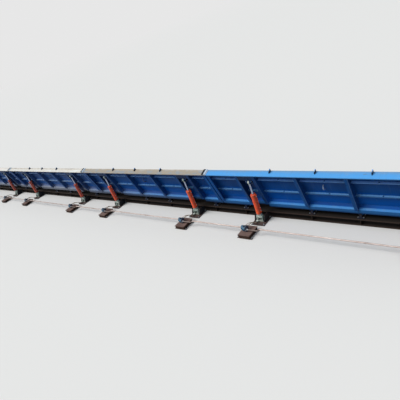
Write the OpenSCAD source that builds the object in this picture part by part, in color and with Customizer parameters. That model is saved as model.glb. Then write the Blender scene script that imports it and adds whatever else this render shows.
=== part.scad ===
// Bottom-hinged hydraulic flap gate: steel leaves in a row across a river,
// each leaning on two cylinders that lower it downstream.
// X runs along the gate, +Y points upstream, +Z is up. The origin is under
// the hinge axis, at the middle of the gate, on the underside of the sill beam.
// All sizes are in millimetres and degrees.

/* [Leaf] */
// Distance from the middle of one leaf to the middle of the next
leaf_pitch = 6180; // [6100:10:6300]
// Shift of each joint between leaves from halfway, from the left to the right
joint_shift = [-180, 20, -180]; // [-200:10:100]
// Height of a leaf along its slope
leaf_h = 1226; // [1190:2:1260]
// Depth of a leaf from its rib faces to the back of its skin plate
leaf_depth = 160; // [156:2:170]
// Lean of the raised leaf from upright, downstream
leaf_lean = 16.6; // [15:0.1:18]
// Gap between the steel of neighbouring leaves
joint_gap = 30; // [28:1:40]
// Thickness of the skin plate
skin_t = 10; // [8:1:12]

/* [Crest] */
// Thickness of the crest plate
cap_t = 12; // [8:1:16]
// Reach of the crest plate past the rib faces, downstream
cap_lip = 25; // [20:1:35]
// Reach of the crest plate past the skin plate, upstream
cap_back = 15; // [5:1:25]
// Drop of the folded front edge of the crest plate
lip_drop = 16; // [10:1:30]
// Height of the raised strip at each end of the crest
end_strip_h = 30; // [20:1:40]
// Thickness of the raised end strip
end_strip_t = 12; // [8:1:16]
// Places of the nappe splitters, from the middle of the leaf
splitter_x = [-1280, -130, 1080]; // [-1400:10:1200]
// Length of a splitter across the crest
splitter_l = 105; // [80:5:160]
// Height of a splitter above the crest
splitter_h = 68; // [50:2:110]
// Thickness of a splitter
splitter_t = 16; // [10:1:20]

/* [Ribs and rails] */
// Distance of the plain ribs from the middle of the leaf
plain_rib_x = 590; // [560:10:620]
// Distance of the inner rib beside a cylinder from the middle of the leaf
inner_rib_x = 1732; // [1700:2:1740]
// Distance of the outer rib beside a cylinder from the middle of the leaf
outer_rib_x = 2232; // [2180:2:2260]
// Width of a rib flange
flange_w = 85; // [60:1:90]
// Thickness of the rib and rail plates
rib_t = 10; // [8:1:12]
// Width of the flange on an end rib
end_flange_w = 95; // [70:1:100]
// Overlap of the rib flanges over the face of the bottom beam
flange_lap = 24; // [10:1:40]
// Depth of the rails in front of the skin plate
rail_d = 80; // [60:2:90]
// Height of the middle rail above the leaf's bottom edge
mid_rail_h = 527; // [500:1:550]
// Height of the top rail above the leaf's bottom edge
top_rail_h = 962; // [930:1:980]
// Radius of the drain holes in the rails
drain_r = 18; // [12:1:22]
// Radius of the bent bar for lifting the leaf, to the middle of the bar
ring_r = 64; // [50:1:72]
// Radius of the lifting bar
ring_bar_r = 15; // [8:0.5:16]
// Place of the lifting bar, from the middle of the leaf
ring_x = -75; // [-100:5:100]
// Height of the lifting bar above the leaf's bottom edge
ring_h = 735; // [690:5:780]

/* [Bottom beam] */
// Height of the bottom beam's front
beam_h = 135; // [120:1:150]
// Setback of the bottom beam's front from the rib faces
beam_set = 20; // [14:1:26]
// Depth of the ledge on top of the bottom beam
ledge_d = 73; // [60:1:80]
// Rise of the sloping plate between the ledge and the skin plate
slope_h = 48; // [30:1:60]
// Thickness of the bottom beam's plates
beam_t = 12; // [8:1:14]

/* [Hinge] */
// Height of the hinge axis above the ground
hinge_z = 284; // [280:1:300]
// Distance of the hinge axis behind the rib faces
hinge_n = 90; // [84:1:94]
// Distance of the hinge axis below the leaf's bottom edge
hinge_drop = 52; // [50:1:60]
// Distance of the outer hinges from the middle of the leaf
outer_hinge_x = 2550; // [2400:10:2700]
// Radius of the hinge pin
hinge_pin_r = 25; // [20:0.5:28]
// Radius of the bearing and of the lug ends
hinge_boss_r = 42; // [38:1:46]
// Width of the bearing along the axis
bearing_w = 50; // [40:1:60]
// Thickness of a hinge lug
lug_t = 25; // [16:1:30]
// Side clearance between a bearing and a lug
lug_gap = 6; // [5:0.5:10]

/* [Sill beam] */
// Height of the sill beam
sill_h = 170; // [150:2:176]
// Width of the sill beam across the river bed
sill_w = 240; // [220:2:250]
// Thickness of the sill beam's flanges
sill_flange_t = 16; // [12:1:20]
// Thickness of the sill beam's web
sill_web_t = 12; // [8:1:16]
// Height of the seal plate above the sill beam
seal_plate_h = 165; // [150:1:168]
// Thickness of the seal plate
seal_plate_t = 12; // [8:1:16]
// Thickness of the rubber seals
rubber_t = 10; // [8:0.5:12]

/* [Cylinder] */
// Distance of each cylinder from the middle of the leaf
cylinder_x = 1950; // [1940:2:1960]
// Distance of the foot pin downstream of the hinge axis
foot_y = 335; // [325:1:350]
// Height of the foot pin above the ground
foot_z = 150; // [140:1:160]
// Height of the rod pin above the leaf's bottom edge
rod_pin_h = 964; // [950:1:970]
// Distance of the rod pin behind the rib faces
rod_pin_n = 12; // [4:1:20]
// Outer radius of the barrel
barrel_r = 70; // [64:1:72]
// Radius of the rod pin
rod_pin_r = 24; // [18:0.5:28]
// Radius of the barrel's bore
bore_r = 56; // [48:1:58]
// Length of the neck between the foot pin and the barrel
neck_l = 105; // [90:1:110]
// Length of the barrel from the foot pin to the top of its head
barrel_l = 710; // [690:5:715]
// Radius of the barrel's head and of its end cap
head_r = 76; // [74:1:80]
// Length of the barrel's head
head_l = 60; // [40:1:80]
// Radius of the piston rod
rod_r = 28; // [22:0.5:32]
// Radius of the foot pin
foot_pin_r = 25; // [18:0.5:28]
// Radius of the eye at the foot of the barrel
foot_eye_r = 48; // [40:1:50]
// Half width of the foot eye
foot_eye_w = 62; // [50:1:64]
// Radius of the eye on the rod
rod_eye_r = 45; // [38:1:48]
// Half width of the rod eye
rod_eye_w = 28; // [22:1:32]
// Radius of the oil pipe on the barrel
oil_pipe_r = 8; // [5:0.5:10]

/* [Rod bracket] */
// Side clearance between the rod eye and a cheek
cheek_gap = 7; // [5:0.5:10]
// Thickness of a cheek of the rod bracket
cheek_t = 20; // [14:1:24]
// Radius of the cheek round the pin
cheek_r = 50; // [44:1:54]

/* [Cylinder frame] */
// Half width of the cylinder frame's base plate
frame_w = 200; // [180:5:230]
// Length of the base plate downstream of the sill beam
frame_l = 430; // [400:5:460]
// Thickness of the base plate
frame_t = 20; // [14:1:24]
// Distance of the side plates from the middle of the frame
side_x = 140; // [125:1:150]
// Thickness of the side plates
side_t = 16; // [10:1:20]
// Height of the side plates beside the foot pin
side_h = 205; // [190:5:260]
// Radius of the anchor holes
anchor_r = 13; // [9:0.5:16]
// Distance of the anchor holes from the edges of a plate
anchor_edge = 35; // [28:1:40]
// Side clearance between the foot eye and a clevis lug
clevis_gap = 6; // [5:0.5:8]
// Thickness of a clevis lug
clevis_t = 22; // [14:1:26]

/* [Valves and pipes] */
// Offset of a valve station from its cylinder along the gate
valve_x = -65; // [-80:5:-30]
// Distance of the valve stations downstream of the hinge axis
valve_y = 940; // [920:5:960]
// Length of a valve plinth along the gate
plinth_l = 360; // [340:5:400]
// Width of a valve plinth
plinth_w = 450; // [430:5:520]
// Height of a valve plinth
plinth_h = 110; // [90:2:130]
// Thickness of the plinth's plates
plinth_t = 12; // [8:1:14]
// Offset of the valve block from the middle of its plinth along the gate
block_x = -40; // [-60:1:-20]
// Length of a valve block along the gate
block_l = 140; // [120:2:150]
// Width of a valve block
block_w = 130; // [124:2:140]
// Height of a valve block
block_h = 124; // [100:2:140]
// Radius of the coupling at the end of a valve block
coupling_r = 56; // [36:1:58]
// Length of the coupling
coupling_l = 60; // [40:2:70]
// Radius of the main oil pipe
pipe_r = 18; // [10:0.5:20]
// Radius of the bends in the main oil pipe
bend_r = 34; // [26:1:40]
// Radius of the oil hoses
hose_r = 9; // [6:0.5:11]

/* [Hidden] */
leaf_count = 4;
LEAF_PARTS = ["skin_plate", "crest_cap", "ribs", "rails", "bottom_beam", "rod_brackets", "splitters",
    "lifting_ring", "side_seals", "barrels", "rods"];
ROOT_PARTS = ["sill_beam", "bottom_seals", "hinge_bearings", "cylinder_frames", "foot_clevises",
    "valve_plates", "valve_blocks", "valve_couplings", "main_pipe", "hoses"];
$fn = 48;

// Running clearance of pins and rods, on the radius
fit = 0.08;
// Overlap by which a cut runs past the face that it opens
past = 1;

gate_l = leaf_count * leaf_pitch;
rib_x = [-outer_rib_x, -inner_rib_x, -plain_rib_x, plain_rib_x, inner_rib_x, outer_rib_x];
// Bays that hold a cylinder, counted along the leaf from its left end
cylinder_bays = [1, 5];
hinge_x = [-outer_hinge_x, -plain_rib_x, plain_rib_x, outer_hinge_x];
frame_n = leaf_depth - skin_t;
// Height at which the side seals start, clear of the bottom seal
seal_start = 30;
rail_n = frame_n - rail_d;
ledge_n = beam_set + ledge_d;
under_cap = leaf_h - cap_t;

function leaf_x(i) = (i - (leaf_count + 1) / 2) * leaf_pitch;
function joint_x(k) = (k - leaf_count / 2) * leaf_pitch + ((k > 0 && k < leaf_count) ? joint_shift[k - 1] : 0);
// Ends of a leaf from its own middle, on its left (s = -1) and right (s = 1)
function end_x(i, s) = joint_x(s < 0 ? i - 1 : i) - leaf_x(i) - s * joint_gap / 2;
// Webs of all ribs from the left end to the right end, at their middles
function web_x(i) = concat([end_x(i, -1) + rib_t / 2], rib_x, [end_x(i, 1) - rib_t / 2]);

// Point of a leaf, given across and up its slope, in the plane of the cylinders
function leaf_yz(n, t) = [
    (n - hinge_n) * cos(leaf_lean) - (t + hinge_drop) * sin(leaf_lean),
    hinge_z + (n - hinge_n) * sin(leaf_lean) + (t + hinge_drop) * cos(leaf_lean)];
rod_pin = leaf_yz(rod_pin_n, rod_pin_h);
stay = [rod_pin[0] + foot_y, rod_pin[1] - foot_z];
// Length from foot pin to rod pin, and lean of the cylinder downstream, both with the leaf raised
stay_l = norm(stay);
stay_lean = atan2(-stay[0], stay[1]);
cap_l = 40;
bore_start = neck_l + cap_l + 5;
piston_l = 50;
rod_start = barrel_l - head_l - piston_l - 25;

cylinder_places = [for (i = [1:leaf_count]) for (s = [-1, 1]) leaf_x(i) + s * cylinder_x];
hinge_places = [for (i = [1:leaf_count]) for (x = hinge_x) leaf_x(i) + x];

// Leaf parts are drawn across (x), through (n, towards the water) and up the slope (t)
module on_leaf(i)
    translate([leaf_x(i), 0, hinge_z])
        rotate([leaf_lean, 0, 0])
            translate([0, -hinge_n, hinge_drop])
                children();

// Cylinder parts are drawn upwards from the foot pin, along the cylinder's own axis
module on_cylinders(i)
    for (s = [-1, 1])
        translate([leaf_x(i) + s * cylinder_x, -foot_y, foot_z])
            rotate([stay_lean, 0, 0])
                children();

// A block given by its lowest corner and its highest corner
module block(low, high)
    translate(low)
        cube(high - low);

// A round bar along X, centred
module bar_x(r, l)
    rotate([0, 90, 0])
        cylinder(r = r, h = l, center = true);

// A plate across X with an outline drawn in Y and Z
module plate_x(x0, t)
    translate([x0, 0, 0])
        rotate([90, 0, 90])
            linear_extrude(t)
                children();

blue = [0.10, 0.30, 0.62];
deep_blue = [0.05, 0.14, 0.34];
sky_blue = [0.30, 0.62, 0.92];
rubber = [0.06, 0.06, 0.06];

module skin_plate(i) {
    bar_w = 40;
    color(blue)
        on_leaf(i) {
            block([end_x(i, -1), frame_n, 0], [end_x(i, 1), leaf_depth, under_cap]);
            for (s = [-1, 1])
                translate([end_x(i, s) - s * bar_w / 2, leaf_depth + rubber_t, seal_start])
                    block([-bar_w / 2, 0, 0], [bar_w / 2, rib_t - 2, under_cap - seal_start]);
        }
}

module crest_cap(i) {
    back = leaf_depth + cap_back;
    color(sky_blue)
        on_leaf(i) {
            block([end_x(i, -1), -cap_lip, under_cap], [end_x(i, 1), back, leaf_h]);
            block([end_x(i, -1), -cap_lip, under_cap - lip_drop], [end_x(i, 1), -cap_lip + cap_t, under_cap]);
            for (s = [-1, 1])
                translate([end_x(i, s) - s * end_strip_t / 2, 0, leaf_h])
                    block([-end_strip_t / 2, -cap_lip, 0], [end_strip_t / 2, back, end_strip_h]);
        }
}

// Outline of a rib's web, which stands on the bottom beam and laps its front
module rib_web(x0)
    plate_x(x0, rib_t)
        polygon([[rib_t, beam_h - flange_lap], [beam_set, beam_h - flange_lap], [beam_set, beam_h],
            [ledge_n, beam_h], [frame_n, beam_h + slope_h], [frame_n, under_cap], [rib_t, under_cap]]);

// Ribs are angles: a web, and a flange on its left
module ribs(i) {
    color(blue)
        on_leaf(i) {
            for (x = rib_x) {
                rib_web(x - rib_t / 2);
                block([x + rib_t / 2 - flange_w, 0, beam_h - flange_lap], [x + rib_t / 2, rib_t, under_cap]);
            }
            for (s = [-1, 1]) {
                rib_web(end_x(i, s) - (s > 0 ? rib_t : 0));
                translate([end_x(i, s) - (s > 0 ? end_flange_w : 0), 0, beam_h - flange_lap])
                    cube([end_flange_w, rib_t, under_cap - beam_h + flange_lap]);
            }
        }
}

// A rail in one bay: a flat bar on edge against the skin plate, with a drain hole
module rail(x0, x1, h)
    difference() {
        block([x0, rail_n, h - rib_t / 2], [x1, frame_n, h + rib_t / 2]);
        translate([(x0 + x1) / 2, frame_n - drain_r - 12, h])
            cylinder(r = drain_r, h = rib_t + 2 * past, center = true);
    }

module rails(i) {
    webs = web_x(i);
    color(deep_blue)
        on_leaf(i)
            for (k = [0:len(webs) - 2]) {
                x0 = webs[k] + rib_t / 2;
                x1 = webs[k + 1] - rib_t / 2;
                rail(x0, x1, mid_rail_h);
                if (len(search(k, cylinder_bays)) == 0)
                    rail(x0, x1, top_rail_h);
            }
}

module hinge_lug(x0)
    plate_x(x0, lug_t) {
        translate([hinge_n, -hinge_drop])
            circle(r = hinge_boss_r);
        polygon([[hinge_n - hinge_boss_r - 20, 0], [hinge_n - hinge_boss_r, -hinge_drop],
            [hinge_n + hinge_boss_r, -hinge_drop], [hinge_n + hinge_boss_r + 20, 0]]);
    }

// Cross-section of the bottom beam, with its full ledge or, beside a cylinder, without it
module beam_section(full)
    polygon(concat(full ? [[beam_set, 0], [beam_set, beam_h]] : [[ledge_n, 0]],
        [[ledge_n, beam_h], [frame_n, beam_h + slope_h], [frame_n, 0]]));

module bottom_beam(i) {
    pin_l = bearing_w + 2 * (lug_gap + lug_t + 8);
    left = end_x(i, -1);
    right = end_x(i, 1);
    // Stretches of the beam as [start, end, full]
    spans = [[left, -outer_rib_x, true], [-outer_rib_x, -inner_rib_x, false], [-inner_rib_x, inner_rib_x, true],
        [inner_rib_x, outer_rib_x, false], [outer_rib_x, right, true]];
    color(blue)
        on_leaf(i) {
            difference() {
                for (p = spans)
                    plate_x(p[0], p[1] - p[0])
                        beam_section(p[2]);
                for (p = spans)
                    plate_x(p[0] + beam_t, p[1] - p[0] - 2 * beam_t)
                        offset(delta = -beam_t)
                            beam_section(p[2]);
                for (x = [-cylinder_x - 700, 0, cylinder_x + 700])
                    translate([x, hinge_n, 0])
                        cylinder(r = drain_r, h = 3 * beam_t, center = true);
            }
            for (x = hinge_x) {
                hinge_lug(x - bearing_w / 2 - lug_gap - lug_t);
                hinge_lug(x + bearing_w / 2 + lug_gap);
                translate([x, hinge_n, -hinge_drop])
                    bar_x(hinge_pin_r - fit, pin_l);
            }
        }
}

// Two cheeks and a hood across the cylinder's bay, which take the push of the rod
module rod_brackets(i) {
    cheek_x = rod_eye_w + cheek_gap;
    hood_h = rod_pin_h + cheek_r + 20;
    hood_t = 12;
    boss_r = 38;
    color(blue)
        on_leaf(i)
            for (s = [-1, 1]) {
                bay = s < 0 ? [-outer_rib_x, -inner_rib_x] : [inner_rib_x, outer_rib_x];
                translate([s * cylinder_x, 0, 0]) {
                    for (x0 = [cheek_x, -cheek_x - cheek_t])
                        plate_x(x0, cheek_t) {
                            translate([rod_pin_n, rod_pin_h])
                                circle(r = cheek_r);
                            polygon([[rod_pin_n - 20, rod_pin_h - cheek_r + 5], [frame_n, rod_pin_h - cheek_r - 60],
                                [frame_n, hood_h], [rod_pin_n - 12, hood_h], [rod_pin_n - 40, rod_pin_h + 20]]);
                        }
                    for (side = [-1, 1])
                        translate([side * (cheek_x + cheek_t + 12), rod_pin_n, rod_pin_h]) {
                            bar_x(boss_r, 24);
                            bar_x(rod_pin_r, 44);
                        }
                }
                block([bay[0] + rib_t / 2, 0, hood_h], [bay[1] - flange_w + rib_t / 2, frame_n, hood_h + hood_t]);
                block([bay[1] - flange_w + rib_t / 2, rib_t, hood_h], [bay[1] - rib_t / 2, frame_n, hood_h + hood_t]);
                block([bay[0] + rib_t / 2, 0, hood_h + hood_t], [bay[1] - flange_w + rib_t / 2, hood_t, under_cap]);
            }
}

// A curved fin that parts the sheet of water falling over the crest
module splitters(i) {
    color(deep_blue)
        on_leaf(i)
            for (x = splitter_x)
                plate_x(x - splitter_t / 2, splitter_t)
                    intersection() {
                        translate([leaf_depth + cap_back - splitter_l, leaf_h])
                            square([splitter_l, splitter_h]);
                        translate([leaf_depth + cap_back, leaf_h])
                            scale([splitter_l / splitter_h, 1])
                                circle(r = splitter_h);
                    }
}

// A bent bar welded upright on the skin plate near the middle of the leaf
module lifting_ring(i) {
    color([0.55, 0.56, 0.55])
        on_leaf(i)
            translate([ring_x, frame_n, ring_h])
                rotate([0, 90, 0])
                    rotate([0, 0, 180])
                        rotate_extrude(angle = 180)
                            translate([ring_r, 0])
                                circle(r = ring_bar_r);
}

module side_seals(i) {
    reach = 10;
    seal_w = 70;
    color(rubber)
        on_leaf(i)
            for (s = [-1, 1])
                translate([end_x(i, s) + s * (reach - seal_w / 2), leaf_depth, seal_start])
                    block([-seal_w / 2, 0, 0], [seal_w / 2, rubber_t, under_cap - seal_start]);
}

module barrels(i) {
    port_x = head_r + 4 + oil_pipe_r;
    ports = [bore_start + 10, barrel_l - head_l + 10];
    port_h = 36;
    color([0.85, 0.27, 0.12])
        on_cylinders(i) {
            difference() {
                union() {
                    bar_x(foot_eye_r, 2 * foot_eye_w);
                    block([-foot_eye_w, -foot_eye_r + 6, 0], [foot_eye_w, foot_eye_r - 6, neck_l]);
                    translate([0, 0, neck_l])
                        cylinder(r = head_r - 3, h = cap_l);
                    translate([0, 0, neck_l + cap_l])
                        cylinder(r = barrel_r, h = barrel_l - head_l - neck_l - cap_l);
                    translate([0, 0, barrel_l - head_l])
                        cylinder(r = head_r, h = head_l);
                    for (z = ports)
                        block([bore_r + 5, -15, z], [port_x + oil_pipe_r + 4, 15, z + port_h]);
                    translate([port_x, 0, ports[0] + port_h / 2])
                        cylinder(r = oil_pipe_r, h = ports[1] - ports[0]);
                }
                bar_x(foot_pin_r, 2 * foot_eye_w + 2 * past);
                translate([0, 0, bore_start])
                    cylinder(r = bore_r, h = barrel_l - head_l - bore_start);
                translate([0, 0, bore_start])
                    cylinder(r = rod_r + fit, h = barrel_l);
            }
        }
}

module rods(i) {
    color([0.78, 0.79, 0.80])
        on_cylinders(i) {
            translate([0, 0, rod_start])
                cylinder(r = bore_r - fit, h = piston_l);
            translate([0, 0, rod_start])
                cylinder(r = rod_r, h = stay_l - rod_start - 10);
            translate([0, 0, stay_l])
                bar_x(rod_eye_r, 2 * rod_eye_w);
        }
}

module sill_beam() {
    plate_y = sill_w / 2 - seal_plate_t;
    color(deep_blue) {
        for (z = [0, sill_h - sill_flange_t])
            block([-gate_l / 2, -sill_w / 2, z], [gate_l / 2, sill_w / 2, z + sill_flange_t]);
        block([-gate_l / 2, -sill_web_t / 2, sill_flange_t],
            [gate_l / 2, sill_web_t / 2, sill_h - sill_flange_t]);
        for (x = hinge_places)
            block([x - rib_t / 2, -sill_w / 2, sill_flange_t],
                [x + rib_t / 2, sill_w / 2, sill_h - sill_flange_t]);
        block([-gate_l / 2, plate_y, sill_h], [gate_l / 2, sill_w / 2, sill_h + seal_plate_h]);
    }
}

// A rubber strip on the seal plate, bent over to the back of the leaves
module bottom_seals() {
    tip = leaf_yz(leaf_depth + 0.3, 12);
    tip_back = leaf_yz(leaf_depth + 0.3, 12 + rubber_t);
    y0 = sill_w / 2;
    z0 = sill_h + seal_plate_h;
    color(rubber)
        for (i = [1:leaf_count])
            plate_x(joint_x(i - 1) + 2, joint_x(i) - joint_x(i - 1) - 4)
                polygon([[y0, z0 - 60], [y0 + rubber_t, z0 - 60], [y0 + rubber_t, z0],
                    tip_back, tip, [y0, z0]]);
}

module hinge_bearings() {
    base_t = 20;
    base_y = 75;
    base_x = 80;
    color(blue)
        for (x = hinge_places)
            difference() {
                union() {
                    block([x - base_x, -base_y, sill_h], [x + base_x, base_y, sill_h + base_t]);
                    plate_x(x - bearing_w / 2, bearing_w) {
                        translate([0, hinge_z])
                            circle(r = hinge_boss_r);
                        polygon([[-base_y + 12, sill_h + base_t], [base_y - 12, sill_h + base_t],
                            [hinge_boss_r, hinge_z], [-hinge_boss_r, hinge_z]]);
                    }
                }
                translate([x, 0, hinge_z])
                    bar_x(hinge_pin_r, bearing_w + 2 * past);
            }
}

module cylinder_frames() {
    y0 = -sill_w / 2;
    y1 = y0 - frame_l;
    color(deep_blue)
        for (x = cylinder_places)
            translate([x, 0, 0]) {
                difference() {
                    block([-frame_w, y1, 0], [frame_w, y0, frame_t]);
                    for (sx = [-1, 1])
                        for (y = [y0 - anchor_edge, y1 + anchor_edge])
                            translate([sx * (frame_w - anchor_edge + 8), y, -past])
                                cylinder(r = anchor_r, h = frame_t + 2 * past);
                }
                for (x0 = [side_x, -side_x - side_t])
                    plate_x(x0, side_t)
                        polygon([[y0, frame_t], [y0, sill_h], [y0 - 70, side_h], [-foot_y, side_h],
                            [-foot_y - 70, frame_t + 60], [-foot_y - 70, frame_t]]);
            }
}

module foot_clevises() {
    base_h = 25;
    base_y = 70;
    lug_x = foot_eye_w + clevis_gap;
    lug_r = 52;
    base_x = lug_x + clevis_t + 20;
    color([0.62, 0.72, 0.66])
        for (x = cylinder_places)
            translate([x, -foot_y, 0]) {
                block([-base_x, -base_y, frame_t], [base_x, base_y, frame_t + base_h]);
                block([-100, -base_y - 40, frame_t], [-30, -base_y, frame_t + 55]);
                for (x0 = [lug_x, -lug_x - clevis_t])
                    plate_x(x0, clevis_t) {
                        translate([0, foot_z])
                            circle(r = lug_r);
                        polygon([[-base_y + 8, frame_t + base_h], [base_y - 8, frame_t + base_h],
                            [lug_r, foot_z], [-lug_r, foot_z]]);
                    }
                translate([0, 0, foot_z])
                    bar_x(foot_pin_r - fit, 2 * (lug_x + clevis_t + 8));
            }
}

// A folded steel plinth, open below, on four feet with anchor holes
module valve_plates() {
    set_back = 15;
    foot_w = 60;
    foot_x = plinth_l / 2 - set_back + foot_w / 2;
    color([0.38, 0.33, 0.29])
        for (x = cylinder_places)
            translate([x + valve_x, -valve_y, 0]) {
                block([-plinth_l / 2, -plinth_w / 2, plinth_h - plinth_t], [plinth_l / 2, plinth_w / 2, plinth_h]);
                difference() {
                    block([set_back - plinth_l / 2, set_back - plinth_w / 2, 0],
                        [plinth_l / 2 - set_back, plinth_w / 2 - set_back, plinth_h - plinth_t]);
                    block([set_back + plinth_t - plinth_l / 2, set_back + plinth_t - plinth_w / 2, -past],
                        [plinth_l / 2 - set_back - plinth_t, plinth_w / 2 - set_back - plinth_t, plinth_h]);
                }
                for (sx = [-1, 1])
                    for (sy = [-1, 1])
                        translate([sx * foot_x, sy * (plinth_w / 2 - anchor_edge - set_back), 0])
                            difference() {
                                block([-foot_w / 2, -foot_w / 2, 0], [foot_w / 2, foot_w / 2, plinth_t]);
                                translate([sx * 8, 0, -past])
                                    cylinder(r = anchor_r, h = plinth_t + 2 * past);
                            }
            }
}

// Height of the main pipe's axis, through the middle of the valve blocks
pipe_z = plinth_h + block_h / 2;
// Distances of its two lines from the middle of a valve block, upstream and downstream
pipe_dy = bend_r;

module valve_blocks() {
    cap_r = 24;
    cap_h = 34;
    color([0.06, 0.10, 0.20])
        for (x = cylinder_places)
            translate([x + valve_x + block_x, -valve_y, plinth_h]) {
                block([-block_l / 2, -block_w / 2, 0], [block_l / 2, block_w / 2, block_h]);
                for (sx = [-1, 1])
                    translate([sx * 36, 0, block_h])
                        cylinder(r = cap_r, h = cap_h);
            }
}

module valve_couplings() {
    color([0.36, 0.60, 0.78])
        for (x = cylinder_places)
            translate([x + valve_x + block_x - block_l / 2 - coupling_l / 2, pipe_dy - valve_y, pipe_z])
                bar_x(coupling_r, coupling_l);
}

// A quarter bend round the Z axis, from +X to +Y
module bend()
    rotate_extrude(angle = 90)
        translate([bend_r, 0])
            circle(r = pipe_r);

// Each length of pipe leaves the right side of a block, steps upstream in two bends,
// and runs straight to the coupling of the next block
module main_pipe() {
    from_block = valve_x + block_x + block_l / 2;
    to_coupling = valve_x + block_x - block_l / 2 - coupling_l;
    step_x = 250;
    tail = 120;
    color([0.62, 0.52, 0.50])
        for (k = [0:len(cylinder_places) - 1]) {
            x = cylinder_places[k];
            last = k == len(cylinder_places) - 1;
            run_end = last ? x + step_x + 2 * bend_r + tail : cylinder_places[k + 1] + to_coupling;
            run_start = x + step_x + 2 * bend_r;
            translate([0, -valve_y, pipe_z]) {
                translate([(x + from_block + x + step_x) / 2, -pipe_dy, 0])
                    bar_x(pipe_r, step_x - from_block);
                translate([x + step_x, 0, 0])
                    rotate([0, 0, -90])
                        bend();
                translate([x + step_x + 2 * bend_r, 0, 0])
                    rotate([0, 0, 90])
                        bend();
                translate([(run_start + run_end) / 2, pipe_dy, 0])
                    bar_x(pipe_r, run_end - run_start);
            }
        }
}

// Sweep of a round tube along points, as one closed solid
hose_sides = 8;
function unit(v) = v / norm(v);
function tangent(p, k) = unit(p[min(k + 1, len(p) - 1)] - p[max(k - 1, 0)]);
function ring_points(p, k, r) =
    let (t = tangent(p, k), a = unit(cross(t, [0.3, 0.1, 1])), b = cross(t, a))
        [for (j = [0:hose_sides - 1]) p[k] + r * (a * cos(360 * j / hose_sides) + b * sin(360 * j / hose_sides))];
module tube(p, r) {
    n = len(p);
    polyhedron(
        points = [for (k = [0:n - 1]) each ring_points(p, k, r)],
        faces = concat(
            [[for (j = [0:hose_sides - 1]) j]],
            [for (k = [0:n - 2]) for (j = [0:hose_sides - 1])
                let (a = k * hose_sides + j, b = k * hose_sides + (j + 1) % hose_sides)
                    [a, a + hose_sides, b + hose_sides, b]],
            [[for (j = [hose_sides - 1:-1:0]) (n - 1) * hose_sides + j]]));
}

// A hose from the port block at the foot to the back of its valve block: straight out of
// the port, then rising in a low arch, and straight into the valve block
module hoses() {
    rings = 9;
    stub = 12;
    start_y = -foot_y - 110;
    end_y = -valve_y + block_w / 2;
    rise = 40;
    color([0.80, 0.76, 0.66])
        for (x = cylinder_places)
            for (h = [0, 1]) {
                a = [x - 48 - 32 * h, start_y, frame_t + 30];
                b = [x + valve_x + block_x + 40 - 75 * h, end_y, plinth_h + block_h - 28];
                a1 = a - [0, stub, 0];
                b1 = b + [0, stub, 0];
                tube(concat([a], [for (k = [0:rings])
                    let (s = k / rings, e = s * s * (3 - 2 * s))
                        [a1[0] + (b1[0] - a1[0]) * e, a1[1] + (b1[1] - a1[1]) * s,
                            a1[2] + (b1[2] - a1[2]) * e + rise * pow(sin(180 * s), 2)]], [b]), hose_r);
            }
}

for (i = [1:leaf_count]) {
    skin_plate(i);
    crest_cap(i);
    ribs(i);
    rails(i);
    bottom_beam(i);
    rod_brackets(i);
    splitters(i);
    lifting_ring(i);
    side_seals(i);
    barrels(i);
    rods(i);
}
sill_beam();
bottom_seals();
hinge_bearings();
cylinder_frames();
foot_clevises();
valve_plates();
valve_blocks();
valve_couplings();
main_pipe();
hoses();
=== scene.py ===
# Bottom-hinged flap gate: paints, seals, oil lines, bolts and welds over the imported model
import math

import bmesh
import bpy
from mathutils import Matrix, Vector


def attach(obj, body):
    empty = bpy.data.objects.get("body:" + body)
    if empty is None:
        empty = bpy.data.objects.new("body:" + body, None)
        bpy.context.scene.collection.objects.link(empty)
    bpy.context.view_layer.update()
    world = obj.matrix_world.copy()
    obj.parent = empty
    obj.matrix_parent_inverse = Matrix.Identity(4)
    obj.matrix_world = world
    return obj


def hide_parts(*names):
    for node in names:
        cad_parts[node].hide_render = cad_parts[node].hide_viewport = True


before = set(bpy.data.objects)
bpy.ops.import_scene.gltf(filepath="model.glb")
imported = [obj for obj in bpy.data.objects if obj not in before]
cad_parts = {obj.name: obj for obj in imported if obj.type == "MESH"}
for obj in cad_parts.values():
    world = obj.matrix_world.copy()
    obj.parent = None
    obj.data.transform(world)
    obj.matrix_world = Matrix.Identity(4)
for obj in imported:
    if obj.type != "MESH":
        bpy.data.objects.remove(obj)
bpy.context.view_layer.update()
print("frame loaded:", len(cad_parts), "parts")

# sizes repeated from the source of the part, in metres; N is through a leaf, from its downstream side
gate = dict(
    leaves=4,
    pitch=6.18,
    jointShift=(-0.18, 0.02, -0.18),
    jointGap=0.03,
    height=1.226,
    depth=0.16,
    skin=0.01,
    lean=math.radians(16.6),
    hingeZ=0.284,
    hingeN=0.09,
    hingeDrop=0.052,
    hingeX=(-2.55, -0.59, 0.59, 2.55),
    ribX=(-2.232, -1.732, -0.59, 0.59, 1.732, 2.232),
    ribT=0.01,
    beamH=0.135,
    beamSet=0.02,
    ledge=0.073,
    slope=0.048,
    rails=(0.527, 0.962),
    capT=0.012,
    capLip=0.025,
    capBack=0.015,
)
cylinder = dict(
    x=1.95,
    footY=0.335,
    footZ=0.15,
    lean=math.radians(1.5837),
    reach=1.08579,
    pinH=0.964,
    pinN=0.012,
)
leafNumbers = range(1, gate["leaves"] + 1)


def at(*spot):
    return Matrix.Translation(spot)


def leafX(i):
    return (i - (gate["leaves"] + 1) / 2) * gate["pitch"]


def jointX(k):
    inner = 0 < k < gate["leaves"]
    return (k - gate["leaves"] / 2) * gate["pitch"] + (gate["jointShift"][k - 1] if inner else 0)


def leafEnd(i, side):
    # end of a leaf from its own middle
    return jointX(i if side > 0 else i - 1) - leafX(i) - side * gate["jointGap"] / 2


def leafPlace(i):
    # from a leaf's own across, through and up to the gate's frame
    return (
        at(leafX(i), 0, gate["hingeZ"])
        @ Matrix.Rotation(gate["lean"], 4, "X")
        @ at(0, -gate["hingeN"], gate["hingeDrop"])
    )


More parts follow.
